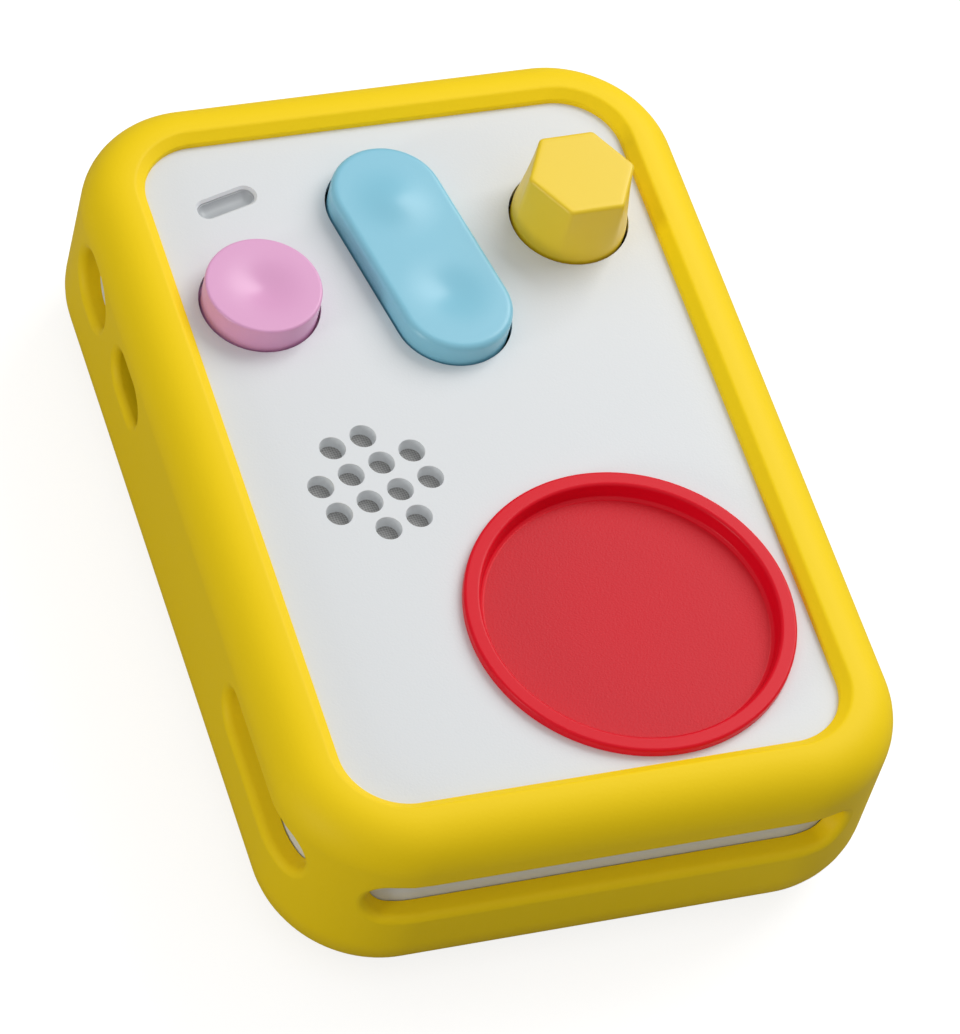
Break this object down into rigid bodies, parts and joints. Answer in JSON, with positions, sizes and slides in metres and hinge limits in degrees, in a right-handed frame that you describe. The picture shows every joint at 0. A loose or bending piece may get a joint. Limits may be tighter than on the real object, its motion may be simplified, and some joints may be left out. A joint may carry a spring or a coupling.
{
  "type": "audio story player",
  "caption": "Slab-shaped children's audio player in a thick soft sleeve, with a round button, a rocker, a six-sided knob, a speaker grille and a round token dish.",
  "frame": {"origin": "centre of the sleeve's underside, on the surface that the player lies on", "axes": "+Z out of the front face, +Y towards the player's top end (controls), +X to the right of someone who looks at the face"},
  "size_m": [0.0994, 0.146, 0.0469],
  "materials": {
    "sleeve_rubber": "matt silicone, fine mould texture",
    "white_plastic": "fine spark-eroded texture",
    "pink_plastic": "satin",
    "blue_plastic": "satin",
    "mustard_plastic": "satin",
    "red_plastic": "satin ring, fine-grained floor",
    "lens_plastic": "diffusing, translucent",
    "speaker_cloth": "fine plain weave",
    "steel": "zinc plated",
    "nickel": "nickel plated",
    "board_laminate": "solder mask",
    "black_plastic": "moulded",
    "grey_plastic": "moulded",
    "foam": "closed-cell foam",
    "speaker_metal": "black lacquer",
    "speaker_paper": "pressed paper",
    "battery_wrap": "shrink sleeve",
    "connector_plastic": "moulded nylon",
    "lead_jacket": "PVC jacket"
  },
  "bodies": {
    "root": {"bumper_sleeve": "sleeve_rubber", "front_shell": "white_plastic", "rear_shell": "white_plastic", "rear_screws": "steel", "token_dish": "red_plastic", "antenna_board": "board_laminate", "dish_magnets": "nickel", "dish_backplate": "grey_plastic", "dish_screws": "steel", "play_spring": "steel", "play_switch": "black_plastic", "rocker_pin": "steel", "rocker_switches": "black_plastic", "pot_body": "speaker_metal", "main_board": "board_laminate", "board_screws": "steel", "processor_can": "nickel", "light_pipe": "lens_plastic", "status_led": "connector_plastic", "speaker_cloth": "speaker_cloth", "speaker_gasket": "foam", "speaker_frame": "speaker_metal", "speaker_surround": "foam", "speaker_cone": "speaker_paper", "speaker_magnet": "nickel", "speaker_leads": "lead_jacket", "headphone_jack": "black_plastic", "usb_port": "nickel", "battery_pack": "battery_wrap", "battery_pad": "foam", "battery_connector": "connector_plastic", "battery_leads": "lead_jacket", "antenna_lead": "black_plastic"},
    "play": {"play_button": "pink_plastic"},
    "rocker": {"rocker_cap": "blue_plastic"},
    "knob": {"volume_knob": "mustard_plastic", "pot_shaft": "steel"}
  },
  "joints": [
    {"name": "play_press", "type": "slide", "parent": "root", "child": "play", "axis": [0, 0, -1], "range_m": [0, 0.0012], "stiffness_N_per_m": 500, "springref_m": -0.002, "deforming": ["play_spring"]},
    {"name": "rocker_tilt", "type": "hinge", "parent": "root", "child": "rocker", "pos_m": [-0.0002, 0.0354, 0.0317], "axis": [0.9836, 0.1805, 0], "range_deg": [-3, 3], "stiffness_Nm_per_rad": 0.15},
    {"name": "volume_turn", "type": "hinge", "parent": "root", "child": "knob", "pos_m": [0.0269, 0.0403, 0.0355], "axis": [0, 0, 1], "range_deg": [-150, 150]}
  ]
}
